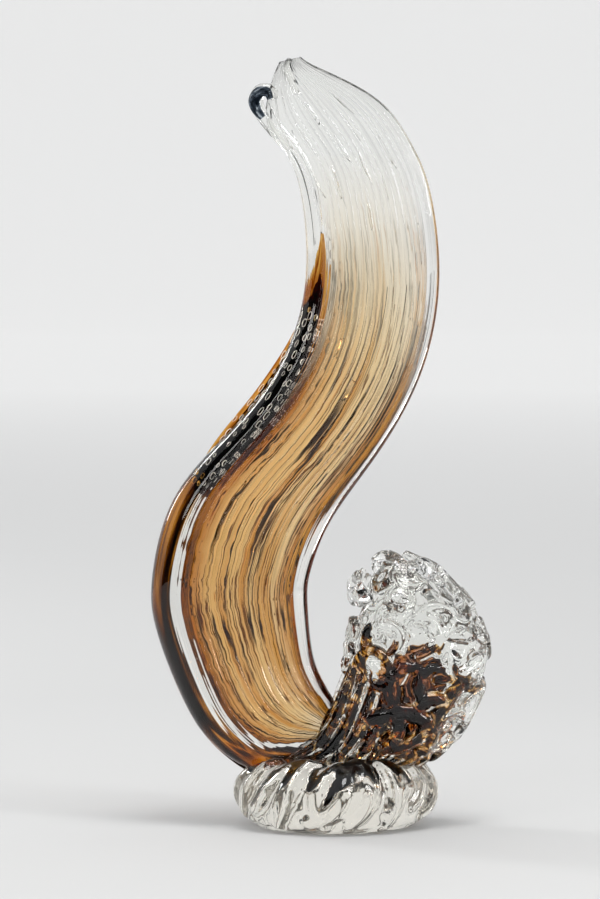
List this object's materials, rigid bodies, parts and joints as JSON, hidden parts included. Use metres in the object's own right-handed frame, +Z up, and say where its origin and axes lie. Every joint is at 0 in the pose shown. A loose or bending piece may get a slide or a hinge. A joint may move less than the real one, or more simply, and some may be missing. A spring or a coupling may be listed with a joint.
{
  "type": "glass wave sculpture",
  "caption": "Free-standing S-shaped wave of clear and amber cased glass on a puddled foot, with a splash of tooled curls beside it.",
  "frame": {"origin": "centre of the foot's flat underside, on the surface that the sculpture stands on", "axes": "+Z up; +X to the right as the fluted face is seen from the front; +Y away from the viewer"},
  "size_m": [0.2239, 0.1378, 0.4981],
  "materials": {
    "clear_glass": "polished clear furnace glass",
    "amber_glass": "streaked amber furnace glass",
    "dark_glass": "dark brown bubbled cane glass",
    "smoke_glass": "grey-blue smoke glass"
  },
  "bodies": {
    "root": {"foot": "clear_glass", "wave_casing": "clear_glass", "amber_core": "amber_glass", "bubble_cane": "dark_glass", "rim_cane": "dark_glass", "tip_curl": "smoke_glass", "splash_body": "clear_glass", "splash_heart": "dark_glass", "crown_curls": "clear_glass", "front_curls": "amber_glass", "back_curls": "amber_glass", "side_beads": "clear_glass"}
  },
  "joints": []
}
